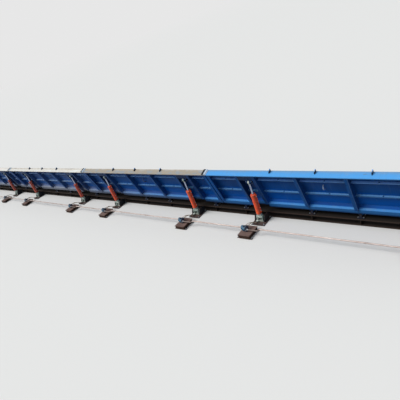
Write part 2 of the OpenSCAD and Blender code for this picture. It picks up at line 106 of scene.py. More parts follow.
def cylinderPlace(i, side):
    # from a cylinder's foot pin, up its own axis
    return (
        at(leafX(i) + side * cylinder["x"], -cylinder["footY"], cylinder["footZ"])
        @ Matrix.Rotation(cylinder["lean"], 4, "X")
    )


cylinderX = [leafX(i) + side * cylinder["x"] for i in leafNumbers for side in (-1, 1)]

# camera, fitted to the leaves, ribs and cylinders in the photograph
shot = dict(
    place=(12.845, -7.336, 5.633),
    ahead=(-0.6544, 0.6111, -0.4452),
    right=(0.7538, 0.5731, -0.3215),
    sharpness=386.9 / 400,  # focal length over the picture's width
    sensor=36,
    reach=(0.1, 2000),
)


def add(name, data):
    # a new object in the scene
    made = bpy.data.objects.new(name, data)
    bpy.context.collection.objects.link(made)
    return made


def makeCamera():
    lens = bpy.data.cameras.new("camera")
    lens.sensor_width = shot["sensor"]
    lens.lens = shot["sensor"] * shot["sharpness"]
    lens.clip_start, lens.clip_end = shot["reach"]
    ahead = Vector(shot["ahead"]).normalized()
    right = Vector(shot["right"])
    right = (right - right.dot(ahead) * ahead).normalized()
    up = right.cross(ahead)
    turn = Matrix((right, up, -ahead)).transposed().to_4x4()
    camera = add("camera", lens)
    camera.matrix_world = at(*shot["place"]) @ turn
    bpy.context.scene.camera = camera


makeCamera()
print("camera placed")


def mathNode(kind, swapped=False):
    # a Math node as an operator; swapped is the reflected form
    def applied(self, other=0.0):
        first, second = (other, self) if swapped else (self, other)
        return self.shader.node("Math", {"operation": kind}, {0: first, 1: second})
    return applied


class Signal:
    # one output of a node, usable in plain sums
    __add__ = mathNode("ADD")
    __radd__ = mathNode("ADD", True)
    __sub__ = mathNode("SUBTRACT")
    __rsub__ = mathNode("SUBTRACT", True)
    __mul__ = mathNode("MULTIPLY")
    __rmul__ = mathNode("MULTIPLY", True)
    __pow__ = mathNode("POWER")
    most = mathNode("MAXIMUM")
    least = mathNode("MINIMUM")
    size = mathNode("ABSOLUTE")

    def __init__(self, shader, out):
        self.shader = shader
        self.out = out

    def within(self, low, high):
        # 0 at low, 1 at high, smooth between; low may be the larger one
        ends = {"Value": self, "From Min": low, "From Max": high}
        return self.shader.node("MapRange", {"interpolation_type": "SMOOTHSTEP"}, ends)


class Shader:
    # the nodes of one material, or of the sky
    def __init__(self, tree):
        self.tree = tree

    def node(self, kind, settings=None, inputs=None, out=0):
        made = self.tree.nodes.new("ShaderNode" + kind)
        for name, value in (settings or {}).items():
            setattr(made, name, value)
        for name, value in (inputs or {}).items():
            if isinstance(value, Signal):
                self.tree.links.new(value.out, made.inputs[name])
            else:
                made.inputs[name].default_value = value
        return Signal(self, made.outputs[out])

    def show(self, share, under, over, last):
        # two shaders mixed as what the render shows
        mixed = self.node("MixShader", {}, {0: share, 1: under, 2: over})
        self.tree.links.new(mixed.out, self.tree.nodes[last].inputs["Surface"])


class Finish(Shader):
    # one material, painted layer over layer
    def __init__(self, name, gloss=0.5, coat=0.0, coatRough=0.1, onLeaf=False):
        self.material = bpy.data.materials.new(name)
        self.material.use_nodes = True
        super().__init__(self.material.node_tree)
        self.skin = self.tree.nodes["Principled BSDF"]
        plain = {"Specular IOR Level": gloss, "Coat Weight": coat, "Coat Roughness": coatRough}
        for socket, value in plain.items():
            self.skin.inputs[socket].default_value = value
        self.place = self.node("TexCoord", out="Object")
        if onLeaf:
            self.place = self.alongLeaf()

    def parts(self, vector=None):
        split = self.node("SeparateXYZ", {}, {0: vector or self.place})
        return [Signal(self, out) for out in split.out.node.outputs]

    def facing(self):
        # the way a face looks at rest, in the part's own frame
        return self.parts(self.node("TexCoord", out="Normal"))

    def alongLeaf(self):
        # the place as along, through and up the slope of a leaf
        sine = math.sin(gate["lean"])
        cosine = math.cos(gate["lean"])
        shift = (0, gate["hingeN"] - gate["hingeZ"] * sine, -gate["hingeDrop"] - gate["hingeZ"] * cosine)
        return self.node("Mapping", {"vector_type": "POINT"}, {
            "Vector": self.place, "Location": shift, "Rotation": (-gate["lean"], 0, 0)})

    def noise(self, scale, detail=3.0, rough=0.5):
        # scale is one number, or three for a stretched pattern
        place = self.place
        if isinstance(scale, tuple):
            place = self.node("Mapping", {"vector_type": "POINT"}, {"Vector": place, "Scale": scale})
            scale = 1.0
        inputs = {"Vector": place, "Scale": scale, "Detail": detail, "Roughness": rough}
        return self.node("TexNoise", {}, inputs)

    def speckle(self, scale, out="Distance"):
        return self.node("TexVoronoi", {}, {"Vector": self.place, "Scale": scale}, out)

    def edges(self, radius):
        # 0 on flat places, towards 1 along edges
        soft = self.node("Bevel", {"samples": 4}, {"Radius": radius})
        true = self.node("NewGeometry", out="Normal")
        alike = self.node("VectorMath", {"operation": "DOT_PRODUCT"}, {0: soft, 1: true}, out="Value")
        return (1 - alike).within(0.01, 0.18)

    def chips(self, radius, scale, low, high):
        # bare spots along the edges
        return self.edges(radius) * self.noise(scale, 4, 0.7).within(low, high)

    def mix(self, share, under, over):
        under, over = [c if isinstance(c, Signal) else (*c, 1) for c in (under, over)]
        return self.node("Mix", {"data_type": "RGBA"}, {0: share, 6: under, 7: over}, out=2)

    def base(self, share, under, over):
        self.color = self.mix(share, under, over)

    def cover(self, share, tone):
        # one more layer of paint, dirt or wear
        self.color = self.mix(share, self.color, tone)

    def finished(self, height, depth, strength, rough, metallic=None):
        # the relief, and what else changes over the surface
        relief = self.node("Bump", {}, {"Height": height, "Distance": depth, "Strength": strength})
        fed = {"Base Color": self.color, "Roughness": rough, "Metallic": metallic, "Normal": relief}
        for socket, signal in fed.items():
            if signal:
                self.tree.links.new(signal.out, self.skin.inputs[socket])
        return self.material


def srgb(*screen):
    # a screen colour as the light it stands for
    return tuple(c / 255 / 12.92 if c < 11 else ((c / 255 + 0.055) / 1.055) ** 2.4 for c in screen)


silt = dict(pale=srgb(196, 184, 164), wet=srgb(104, 88, 70), dark=srgb(58, 50, 42), rust=srgb(122, 66, 36))

# what sun, river and oil leave on the enamel of the leaves, with painted sheen, highlights and shade
leafTones = dict(
    high=srgb(130, 186, 255),
    rim=srgb(20, 74, 140),
    front=srgb(58, 136, 214),
    foot=srgb(20, 62, 118),
    run=srgb(24, 36, 50),
    driedRun=srgb(120, 146, 176),
    tide=srgb(38, 60, 84),
    corner=srgb(34, 44, 60),
    edgeHighlight=srgb(126, 156, 196),
    # the next tone is painted shade in the cylinder bays
    oil=srgb(10, 22, 46),
    film=srgb(104, 98, 88),
    paleFilm=srgb(132, 124, 110),
    wet=srgb(50, 66, 84),
    settled=srgb(150, 168, 184),
    far=srgb(122, 142, 170),
    farTop=srgb(156, 178, 208),
    farFoot=srgb(160, 164, 174),
    mud=srgb(24, 34, 48),
)


def leafPaint(name, paint, deep, ledge, grimeAndShade=1.0, face=0.0, low=None, outer=0.0, edgeLight=0.0):
    # blue enamel on a leaf: faded ledges, runs, chipped edges, and painted sheen, highlights and shade
    f = Finish(name, gloss=0.15, onLeaf=True)
    across, through, up = f.parts()
    lookY, lookZ = f.facing()[1:]
    upward = lookZ.within(0.6, 0.9)
    upstream = lookY.within(0.5, 0.9)
    front = (0 - lookY).within(0.87, 0.94)
    high = upward * up.within(0.8, 0.95)
    broad = f.noise(1.1, 4)
    fine = f.noise(26, 5, 0.6)
    f.base(broad.within(0.3, 0.7), deep, paint)
    # the lower part is painted a brighter blue as lit, the part under the crest stays darker as painted shade
    if low:
        f.cover((up + 0.05 * (broad - 0.5)).within(0.62, 0.5), low)
    # each bay has aged a little differently
    bay = f.noise((0.85, 0, 0), 0).within(0.35, 0.65)
    f.cover(bay * 0.22, (paint[0] * 0.6, paint[1] * 1.1, paint[2] * 0.86))
    # what looks up is faded and silted, and painted paler as a painted sheen
    f.cover(upward * (0.75 + 0.25 * fine), ledge)
    # the top rail in the crest's shade gets a painted highlight
    f.cover(high * 0.94, leafTones["high"])
    # the rails' outer rim is painted darker as painted shade
    if outer:
        rim = (through + 0.012 * fine + 0.04 * high).within(0.114, 0.1)
        f.cover(upward * outer * rim, leafTones["rim"])
    # the faces looking downstream are painted lighter as a painted sheen, and darker at their foot as painted
    # shade
    if face:
        f.cover(front * face, leafTones["front"])
        f.cover(front * face * up.within(0.05, 0.015), leafTones["foot"])
    # runs of dirt from the crest, pale dried ones, and tide lines
    crest = up.within(0.75, 1.19) * (1 - upward)
    runs = f.noise((16, 5, 0.9), 4, 0.55).within(0.5, 0.72) * crest
    thin = f.noise((60, 30, 2.2), 3, 0.6).within(0.55, 0.75) * crest
    f.cover((runs * 0.5 + thin * 0.3) * grimeAndShade, leafTones["run"])
    pale = f.noise((30, 9, 1.6), 4, 0.55).within(0.58, 0.78) * (1 - upward)
    f.cover(pale * 0.16 * grimeAndShade, leafTones["driedRun"])
    tide = f.noise((1.2, 3, 34), 4, 0.6).within(0.55, 0.7) * (1 - upward)
    f.cover(tide * 0.18 * grimeAndShade, leafTones["tide"])
    # painted shade in the corners by the ribs and in a strip just over the rails and ledge
    reach = f.node("Math", {"operation": "WRAP"}, {0: across, 1: gate["pitch"], 2: 0.0})
    reach = (reach - gate["pitch"] / 2).size()
    inner, bayStart, bayEnd = gate["ribX"][3:]
    nearest = (reach - inner).size().least((reach - bayStart).size()).least((reach - bayEnd).size())
    corner = nearest.within(0.06, 0.006)
    for height in (gate["beamH"] + gate["slope"], *gate["rails"]):
        above = up.within(height - 0.004, height + 0.002)
        corner = corner.most((up - height - 0.004).within(0.035, 0.0) * above)
    corner = corner * fine.within(0.3, 0.6) * (1 - upstream) * (1 - 0.7 * high)
    f.cover(corner * 0.34 * grimeAndShade, leafTones["corner"])
    # a painted highlight along the edges of the rib flanges
    if edgeLight:
        edgeHighlight = nearest.within(0.017, 0.008) * front * f.noise(34, 4, 0.7).within(0.36, 0.56)
        f.cover(edgeHighlight * edgeLight, leafTones["edgeHighlight"])
    # the bays behind the cylinders are painted darker as painted shade
    bayShade = reach.within(bayStart - 0.01, bayStart + 0.01) * reach.within(bayEnd + 0.01, bayEnd)
    bayShade = bayShade * (1 - upstream) * (0.5 + 0.5 * broad) * up.within(0.12, 0.3)
    f.cover(bayShade * 0.6, leafTones["oil"])
    # river silt dried on the upstream face, in tides and runs
    film = f.noise((1.7, 1, 6), 6, 0.6) * 0.6 + f.noise((26, 1, 1.3), 4) * 0.4
    film = (film + 0.16 * up.within(1.1, 0.2)).within(0.46, 0.66) * upstream
    f.cover(film * 0.6, f.mix(fine.within(0.3, 0.7), leafTones["film"], leafTones["paleFilm"]))
    wet = (up + 0.12 * broad).within(0.3, 0.02) * (1 - 0.6 * fine) * (1 - upward)
    f.cover(wet * 0.2 * grimeAndShade, leafTones["wet"])
    settled = upward * f.noise(5.5, 5, 0.6).within(0.55, 0.72)
    f.cover(settled * 0.28 * grimeAndShade, leafTones["settled"])
    # the leaves further along are greyer with dried silt, most of all at the foot
    patchy = 0.72 + 0.56 * f.noise(2.2, 5, 0.6)
    greyed = f.mix(upward, leafTones["far"], leafTones["farTop"])
    f.cover(across.within(4.2, -2.6) * (0.17 + 0.38 * upward) * patchy, greyed)
    lower = up.within(0.26, 0.12) * across.within(6.6, -3.6)
    f.cover(lower * (0.42 + 0.42 * upward.most(front)) * patchy, leafTones["farFoot"])
    # dark mud along the foot of the nearer leaves
    mud = up.within(0.15, 0.02) * (0.16 + 0.5 * across.within(6.3, 5.6) * across.within(-1.2, 1.0))
    f.cover(mud * (0.7 + 0.6 * fine) * (1 - upstream), leafTones["mud"])
    chips = f.chips(0.003, 38, 0.6, 0.66)
    f.cover(chips * 0.9, silt["rust"])
    specks = f.speckle(22).within(0.04, 0.02) * f.noise(2.4, 3).within(0.56, 0.62)
    f.cover(specks * 0.8, silt["rust"])
    dirt = runs.most(settled).most(wet * 0.5).most(corner * 0.8).most(film)
    relief = f.noise(3.2, 2) * 0.5 + fine * 0.08 + f.noise(240, 2) * 0.03
    relief = relief - chips * 0.2 + corner * 0.1
    return f.finished(relief, 0.004, 0.6, rough=0.5 + 0.3 * dirt + 0.08 * (fine - 0.5))


crestTones = dict(dirt=srgb(110, 104, 84), scour=srgb(96, 104, 112), lip=srgb(34, 84, 150),
                  strip=srgb(198, 214, 230))


def crestPaint(name, cover, paint, back, stain, dust):
    # the crest plate: paint in front, then a silt film that thickens upstream
    f = Finish(name, gloss=0.3, onLeaf=True)
    through, up = f.parts()[1:]
    broad = f.noise((1.6, 6, 1), 5, 0.55)
    fine = f.noise(30, 5, 0.6)
    f.base((through + 0.12 * (broad - 0.5)).within(0.06, 0.2), paint, back)
    blot = f.noise((3.2, 9, 4), 6, 0.62)
    dried = blot.within(0.62 - 0.3 * cover, 0.72 - 0.3 * cover)
    f.cover(dried * cover, stain)
    f.cover(fine.within(0.45, 0.75) * 0.3 * cover, dust)
    f.cover(f.noise((7, 16, 8), 5, 0.6).within(0.62, 0.75) * 0.45, crestTones["dirt"])
    scour = f.noise((46, 2.6, 1), 4, 0.6).within(0.52, 0.72)
    f.cover(scour * 0.16, crestTones["scour"])
    # the folded front edge keeps its blue, and the raised strips at the ends are pale
    f.cover(up.within(1.216, 1.205) * 0.8, crestTones["lip"])
    f.cover(up.within(1.23, 1.236) * 0.9, crestTones["strip"])
    f.cover(f.chips(0.004, 30, 0.55, 0.62), silt["rust"])
    relief = blot * 0.3 + fine * 0.2 - scour * 0.08
    return f.finished(relief, 0.003, 0.6, rough=0.42 + 0.35 * dried + 0.1 * fine)


def bedPaint(name, paint, mud, cover, shade=0.0):
    # steel on the river bed, with wet and dried silt over its upper faces
    f = Finish(name, gloss=0.3)
    upward = f.facing()[2].within(0.3, 0.9)
    broad = f.noise(3.0, 5, 0.6)
    fine = f.noise(34, 5, 0.65)
    f.base(broad.within(0.35, 0.65), paint, tuple(c * 0.7 for c in paint))
    caked = (broad * 0.7 + fine * 0.3 + 0.35 * upward).within(0.72 - 0.3 * cover, 0.86 - 0.3 * cover)
    f.cover(caked * cover, mud)
    f.cover(fine.within(0.52, 0.7) * caked * 0.5, silt["dark"])
    f.cover(f.chips(0.004, 30, 0.5, 0.6), silt["rust"])
    if shade:
        # painted shade under and next to the leaves
        y = f.parts()[1]
        f.cover((y + 0.04 * broad).within(-0.13, -0.05) * shade, srgb(22, 20, 20))
    return f.finished(caked * 0.6 + fine * 0.3, 0.004, 0.7, rough=0.55 + 0.3 * caked)


barrelTones = dict(dark=srgb(242, 74, 22), bright=srgb(252, 98, 42), streak=srgb(168, 60, 40),
                   chalkAndHighlight=srgb(244, 148, 120), far=srgb(134, 70, 64), shaded=srgb(120, 40, 40),
                   oil=srgb(60, 40, 34))


def barrelPaint():
    # orange enamel: chalked patches, painted highlight and shade on its sides, oil and silt round the ends
    f = Finish("orange_enamel", coat=0.15, coatRough=0.25)
    x, z = f.parts()[::2]
    lookX = f.facing()[0]
    broad = f.noise(5, 4, 0.6)
    fine = f.noise(60, 5, 0.6)
    f.base(broad.within(0.3, 0.7), barrelTones["dark"], barrelTones["bright"])
    streak = f.noise((50, 50, 3), 4, 0.6).within(0.5, 0.72)
    f.cover(streak * 0.25, barrelTones["streak"])
    faded = f.noise((9, 9, 5)).within(0.55, 0.75)
    # chalky patches, and a painted highlight on the side towards -X
    f.cover((faded * 0.3).most((0 - lookX).within(0.1, 0.8) * 0.22), barrelTones["chalkAndHighlight"])
    # the ones further along are dull with silt
    dull = x.within(3.0, -3.0) * (0.5 + 0.5 * f.noise(7, 4, 0.6))
    f.cover(dull * 0.8, barrelTones["far"])
    # painted shade on the side towards +X
    f.cover(lookX.within(0.15, 0.85) * 0.5, barrelTones["shaded"])
    foot = z.within(0.34, 0.14) * fine.within(0.3, 0.6)
    f.cover(foot * 0.5, silt["wet"])
    f.cover(z.within(0.72, 0.83) * streak * 0.45, barrelTones["oil"])
    f.cover(f.chips(0.004, 45, 0.5, 0.58), silt["rust"])
    rough = 0.34 + 0.3 * foot + 0.15 * faded + 0.06 * fine
    return f.finished(fine * 0.2 + broad * 0.3, 0.002, 0.5, rough)


def rodMetal():
    # chrome tinted blue as a painted reflection of the leaves, with a film of silt and oil
    f = Finish("rod_chrome")
    ring = f.noise((4, 4, 140))
    film = f.noise(16, 5, 0.6).within(0.5, 0.7)
    f.base(ring, srgb(144, 154, 178), srgb(176, 184, 204))
    f.cover(film * 0.5, srgb(128, 122, 126))
    return f.finished(ring, 0.0006, 0.3, rough=0.2 + 0.2 * film + 0.06 * ring, metallic=1 - 0.45 * film)


def zincMetal(name, dark, light, painted=0.0):
    f = Finish(name)
    grey = f.node("RGBToBW", {}, {0: f.speckle(90, "Color")})
    stain = f.noise(20, 5, 0.6).within(0.45, 0.7)
    f.base(grey, dark, light)
    f.cover(stain * 0.3, srgb(104, 100, 94))
    # on the leaves further along it is painted over
    over = f.parts()[0].within(6.0, 5.0) * painted
    f.cover(over, srgb(26, 66, 122))
    metallic = (0.6 - 0.5 * stain) * (1 - over)
    return f.finished(grey * 0.3 + stain, 0.001, 0.4, rough=0.42 + 0.3 * stain, metallic=metallic)


def sealRubber(name, dark, light):
    f = Finish(name, gloss=0.3)
    dust = f.noise(7, 6, 0.65)
    fine = f.noise(60, 4, 0.6)
    f.base(dust.within(0.4, 0.7), dark, light)
    f.cover(fine.within(0.6, 0.75) * 0.4, silt["wet"])
    return f.finished(dust + 0.4 * fine, 0.003, 0.6, rough=0.62 + 0.25 * dust)


def paleFitting():
    # chalky pale green castings at the foot of the cylinders
    f = Finish("pale_fitting", gloss=0.35)
    broad = f.noise(9, 5, 0.6)
    fine = f.noise(55, 5, 0.65)
    low = (f.parts()[2] + 0.08 * broad).within(0.14, 0.03)
    f.base(broad.within(0.35, 0.7), srgb(158, 178, 172), srgb(206, 214, 206))
    f.cover((low * 0.8).most(fine.within(0.58, 0.7) * 0.5), silt["wet"])
    f.cover(f.edges(0.004) * fine.within(0.5, 0.6), silt["rust"])
    return f.finished(broad + 0.5 * fine, 0.003, 0.6, rough=0.5 + 0.3 * low + 0.1 * fine)


def rustyPlate():
    # rolled plate, rusted and then silted over
    f = Finish("rusty_plate", gloss=0.25)
    upward = f.facing()[2].within(0.3, 0.8)
    broad = f.noise(6, 6, 0.65)
    fine = f.noise(50, 6, 0.7)
    f.base(fine.within(0.35, 0.7), srgb(46, 34, 30), srgb(84, 58, 44))
    f.cover(upward * (0.55 + 0.45 * broad.within(0.3, 0.6)), srgb(120, 98, 92))
    f.cover(fine.within(0.55, 0.75) * 0.4 * upward, silt["pale"])
    return f.finished(broad + fine * 0.6, 0.004, 0.7, rough=0.68 + 0.2 * fine)


def valvePaint(name, paint, dust):
    f = Finish(name, gloss=0.45)
    broad = f.noise(12, 5, 0.6)
    fine = f.noise(70, 5, 0.6)
    settled = f.facing()[2].within(0.2, 0.9) * fine.within(0.4, 0.65)
    f.base(broad.within(0.35, 0.7), paint, tuple(c * 1.5 for c in paint))
    f.cover(settled * dust, silt["wet"])
    # a painted highlight along the edges, in the pale silt tone
    f.cover(f.edges(0.003) * fine.within(0.5, 0.6), silt["pale"])
    return f.finished(broad * 0.4 + fine * 0.3, 0.002, 0.5, rough=0.4 + 0.3 * settled)


def pipeSteel(name, grey, light, stub=0.0):
    # stub is how muddy the pipe's short ends by the valves are
    f = Finish(name, gloss=0.4)
    along = f.noise((5, 20, 20), 5, 0.6)
    fine = f.noise(80, 4, 0.6)
    f.base(along.within(0.35, 0.7), grey, light)
    f.cover(fine.within(0.6, 0.75) * 0.6, srgb(128, 92, 72))
    end = f.parts()[1].within(-0.935, -0.955)
    muddy = f.noise((1.4, 4, 4), 4).within(0.58, 0.72) * 0.5
    muddy = muddy.most(end * stub * (0.7 + 0.3 * fine))
    f.cover(muddy, srgb(92, 76, 70))
    relief = along * 0.3 + fine * 0.4
    return f.finished(relief, 0.001, 0.5, rough=0.42 + 0.35 * muddy, metallic=0.4 - 0.35 * muddy)


def hoseCover(name, dark, light):
    f = Finish(name, gloss=0.25)
    braid = f.node("TexWave", {"wave_type": "BANDS", "bands_direction": "DIAGONAL"},
                   {"Vector": f.place, "Scale": 110, "Distortion": 0.4})
    tone = f.node("RGBToBW", {}, {0: braid})
    dirt = f.noise(18, 5, 0.6)
    f.base(tone, dark, light)
    f.cover(dirt.within(0.5, 0.7) * 0.5, silt["wet"])
    return f.finished(tone, 0.0012, 0.6, rough=0.62 + 0.2 * dirt)


# leaf enamels are given as paint, the same where it is deeper, and what looks up
paints = dict(
    skin=leafPaint("leaf_enamel", srgb(12, 84, 166), srgb(6, 64, 136), srgb(50, 132, 216),
                   low=srgb(2, 98, 196)),
    rib=leafPaint("rib_enamel", srgb(8, 88, 172), srgb(4, 70, 146), srgb(70, 128, 196), face=0.12, edgeLight=0.3),
    beam=leafPaint("beam_enamel", srgb(4, 92, 184), srgb(2, 74, 156), srgb(92, 170, 240),
                   face=0.75, grimeAndShade=0.8),
    rail=leafPaint("rail_enamel", srgb(10, 72, 140), srgb(6, 56, 118), srgb(122, 190, 250),
                   grimeAndShade=0.8, outer=0.75),
    bracket=leafPaint("bracket_enamel", srgb(16, 74, 140), srgb(10, 50, 100), srgb(40, 96, 150)),
    # the splitter fins are painted near-black as painted shade, with a painted highlight on top
    fin=leafPaint("fin_enamel", srgb(12, 34, 62), srgb(8, 22, 42), srgb(104, 120, 138), grimeAndShade=0.6),
    bearing=bedPaint("bearing_enamel", srgb(22, 44, 82), srgb(76, 62, 54), 0.75, shade=0.5),
    sill=bedPaint("sill_enamel", srgb(52, 42, 38), srgb(84, 68, 58), 0.85, shade=0.85),
    # the cheek plates' near-black paint is painted shade behind the cylinder feet
    cheek=bedPaint("cheek_enamel", srgb(16, 20, 30), srgb(104, 84, 78), 0.6),
    clamp=bedPaint("clamp_enamel", srgb(12, 46, 94), silt["wet"], 0.75),
    barrel=barrelPaint(),
    rod=rodMetal(),
    zinc=zincMetal("dull_zinc", srgb(138, 144, 150), srgb(172, 178, 182)),
    ring=zincMetal("ring_zinc", srgb(126, 148, 184), srgb(170, 188, 218), painted=0.85),
    rubber=sealRubber("seal_rubber", srgb(26, 26, 27), srgb(62, 60, 56)),
    bulb=sealRubber("bulb_rubber", srgb(10, 18, 28), srgb(24, 34, 46)),
    pale=paleFitting(),
    plinth=rustyPlate(),
    valve=valvePaint("valve_enamel", srgb(18, 28, 54), 0.3),
    coupling=valvePaint("coupling_enamel", srgb(60, 106, 136), 0.4),
    pipe=pipeSteel("oil_pipe_steel", srgb(196, 178, 170), srgb(224, 210, 204), stub=0.9),
    line=pipeSteel("line_steel", srgb(150, 160, 172), srgb(186, 192, 198)),
    hose=hoseCover("hose_cover", srgb(204, 196, 184), srgb(232, 226, 214)),
    oldHose=hoseCover("old_hose_cover", srgb(132, 112, 70), srgb(164, 144, 98)),
)
# crest plates by leaf, and the wear strips: how silted, then paint, upstream part, stain and dust
crests = dict(
    crest1=("crest_film_1", 0.7, (232, 234, 234), (200, 190, 182), (226, 220, 210), (246, 244, 242)),
    crest2=("crest_film_2", 0.7, (232, 236, 234), (156, 142, 130), (216, 210, 198), (244, 242, 236)),
    crest3=("crest_film_3", 0.7, (150, 158, 164), (192, 183, 171), (172, 158, 136), (204, 194, 182)),
    crest4=("crest_enamel", 0.2, (80, 164, 236), (112, 154, 192), (150, 166, 180), (160, 188, 214)),
    wear=("wear_strip", 0.25, (206, 220, 234), (186, 204, 220), (176, 186, 194), (226, 234, 242)),
)
for paint, (name, cover, *tones) in crests.items():
    paints[paint] = crestPaint(name, cover, *[srgb(*tone) for tone in tones])

# the paint of each part of the frame
leafParts = dict(skin_plate="skin", ribs="rib", rails="rail", bottom_beam="beam", rod_brackets="bracket",
                 splitters="fin", lifting_ring="ring", side_seals="rubber", barrels="barrel", rods="rod")
partPaints = dict(sill_beam="sill", bottom_seals="rubber", hinge_bearings="bearing", cylinder_frames="cheek",
                  foot_clevises="pale", valve_plates="plinth", valve_blocks="valve",
                  valve_couplings="coupling", main_pipe="pipe", hoses="hose")
for i in leafNumbers:
    partPaints[f"leaf{i}_crest_cap"] = f"crest{i}"
    for part, paint in leafParts.items():
        partPaints[f"leaf{i}_{part}"] = paint
for part, paint in partPaints.items():
    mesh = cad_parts[part].data
    mesh.materials.clear()
    mesh.materials.append(paints[paint])
print("paints mixed")

# edges sharper than this angle stay sharp on new pieces
smoothAngle = math.radians(35)


def keepShape(bm, name="shape"):
    mesh = bpy.data.meshes.new(name)
    bm.to_mesh(mesh)
    bm.free()
    return mesh


def stamp(bm, shape, place=Matrix()):
    # one more copy of a small shape
    copy = shape.copy()
    copy.transform(place)
    bm.from_mesh(copy)
    bpy.data.meshes.remove(copy)


def addPiece(name, data, paint, body):
    data.materials.append(paints[paint])
    piece = add(name, data)
    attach(piece, body)
    return piece


def finishPiece(name, bm, paint, body):
    mesh = keepShape(bm, name)
    mesh.shade_smooth()
    mesh.set_sharp_from_angle(angle=smoothAngle)
    return addPiece(name, mesh, paint, body)


def repeat(name, shape, places, paint, body):
    # one piece made of copies of a shape
    bm = bmesh.new()
    for place in places:
        stamp(bm, shape, place)
    return finishPiece(name, bm, paint, body)


def turned(profile, sides, closed=False):
    # a profile of (radius, height) turned round Z
    bm = bmesh.new()
    line = [bm.verts.new((r, 0, z)) for r, z in profile]
    ends = line[1:] + line[:1] if closed else line[1:]
    edges = [bm.edges.new(pair) for pair in zip(line, ends)]
    bmesh.ops.spin(bm, geom=line + edges, axis=(0, 0, 1), cent=(0, 0, 0), dvec=(0, 0, 0), angle=math.tau,
                   steps=sides, use_merge=True, use_duplicate=False)
    bmesh.ops.remove_doubles(bm, verts=bm.verts, dist=1e-6)
    bmesh.ops.recalc_face_normals(bm, faces=bm.faces)
    return bm


def box(bm, low, high, soft, steps=2):
    # a plate or block with softened edges
    low, high = Vector(low), Vector(high)
    place = at(*(low + high) / 2) @ Matrix.Diagonal((*(high - low), 1))
    made = bmesh.ops.create_cube(bm, size=1, matrix=place)
    edges = list({e for v in made["verts"] for e in v.link_edges})
    bmesh.ops.bevel(bm, geom=edges, offset=soft, affect="EDGES", segments=steps, profile=0.5, material=-1)


def post(bm, low, high, radius, sides, tip=None, x=0):
    # a round or six-sided piece along Z
    place = at(x, 0, (low + high) / 2)
    return bmesh.ops.create_cone(bm, cap_ends=True, segments=sides, radius1=radius, radius2=tip or radius,
                                 depth=high - low, matrix=place)["verts"]


# a bolt's sizes as shares of its washer's radius
boltForm = dict(washer=0.12, head=0.58, rim=0.07, stud=0.3, studTip=0.26)


def bolt(radius, height, washer=True, stud=0.0):
    # hexagon head or nut on a washer, with what shows of its stud
    bm = bmesh.new()
    base = boltForm["washer"] * radius if washer else 0
    if washer:
        post(bm, 0, base, radius, 14)
    head = post(bm, base, base + height, boltForm["head"] * radius, 6)
    edges = {e for v in head for e in v.link_edges}
    rim = [e for e in edges if all(v.co.z > base + height / 2 for v in e.verts)]
    bmesh.ops.bevel(bm, geom=rim, offset=boltForm["rim"] * radius, affect="EDGES", segments=1, profile=0.5,
                    material=-1)
    if stud:
        post(bm, base, base + height + stud, boltForm["stud"] * radius, 10, tip=boltForm["studTip"] * radius)
    return keepShape(bm)


def turnTo(direction):
    return Vector(direction).to_track_quat("Z", "Y").to_matrix().to_4x4()


def around(count):
    # turns about Z for a ring of screws
    return [Matrix.Rotation(math.tau * (k + 0.5) / count, 4, "Z") for k in range(count)]


# oil hoses: from the port block at the foot to the back of the valve block
hose = dict(radius=0.009, rings=24, stub=0.012, rise=0.04, portX=-0.048, portGap=-0.032, portY=-0.445,
            portZ=0.05, blockX=-0.065, blockGap=-0.075, blockY=-0.875, blockZ=0.206, nut=0.0145,
            ferrule=0.0125, ferruleLength=0.034)


def hoseRoute(x, h):
    start = Vector((x + hose["portX"] + hose["portGap"] * h, hose["portY"], hose["portZ"]))
    end = Vector((x + hose["blockX"] + hose["blockGap"] * h, hose["blockY"], hose["blockZ"]))
    inner = start - Vector((0, hose["stub"], 0))
    outer = end + Vector((0, hose["stub"], 0))
    route = [start]
    for k in range(hose["rings"] + 1):
        s = k / hose["rings"]
        eased = s * s * (3 - 2 * s)
        route.append(Vector((
            inner.x + (outer.x - inner.x) * eased,
            inner.y + (outer.y - inner.y) * s,
            inner.z + (outer.z - inner.z) * eased + hose["rise"] * math.sin(math.pi * s) ** 2)))
    return [*route, end]


def makeHoses():
    for number, x in enumerate(cylinderX, 1):
        for h, paint in enumerate(("oldHose", "hose")):
            route = hoseRoute(x, h)
            line = bpy.data.curves.new(f"hose{number}_{h + 1}", "CURVE")
            line.dimensions = "3D"
            line.bevel_depth = hose["radius"]
            line.bevel_resolution = 5
            line.use_fill_caps = True
            spline = line.splines.new("POLY")
            spline.points.add(len(route) - 1)
            for point, place in zip(spline.points, route):
                point.co = (*place, 1)
            spline.use_smooth = True
            piece = addPiece(line.name, line, paint, "base")
    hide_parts("hoses")
    print("hoses laid")


makeHoses()


def makeHoseEnds():
    # crimped ferrule and swivel nut at both ends of each hose
    r, nut, length = hose["ferrule"], hose["nut"], hose["ferruleLength"]
    crimp = keepShape(turned([
        (0, 0), (nut, 0), (nut, 0.012), (r, 0.0125), (r * 0.94, 0.018), (r, 0.02), (r * 0.94, 0.025),
        (r, 0.027), (r * 0.96, length), (0.0088, length + 0.001), (0, length + 0.001)], 18))
    places = []
    for x in cylinderX:
        for h in (0, 1):
            route = hoseRoute(x, h)
            places.append(at(*route[0]) @ turnTo(route[3] - route[0]))
            places.append(at(*route[-1]) @ turnTo(route[-4] - route[-1]))
    repeat("hose_ends", crimp, places, "zinc", "base")


makeHoseEnds()

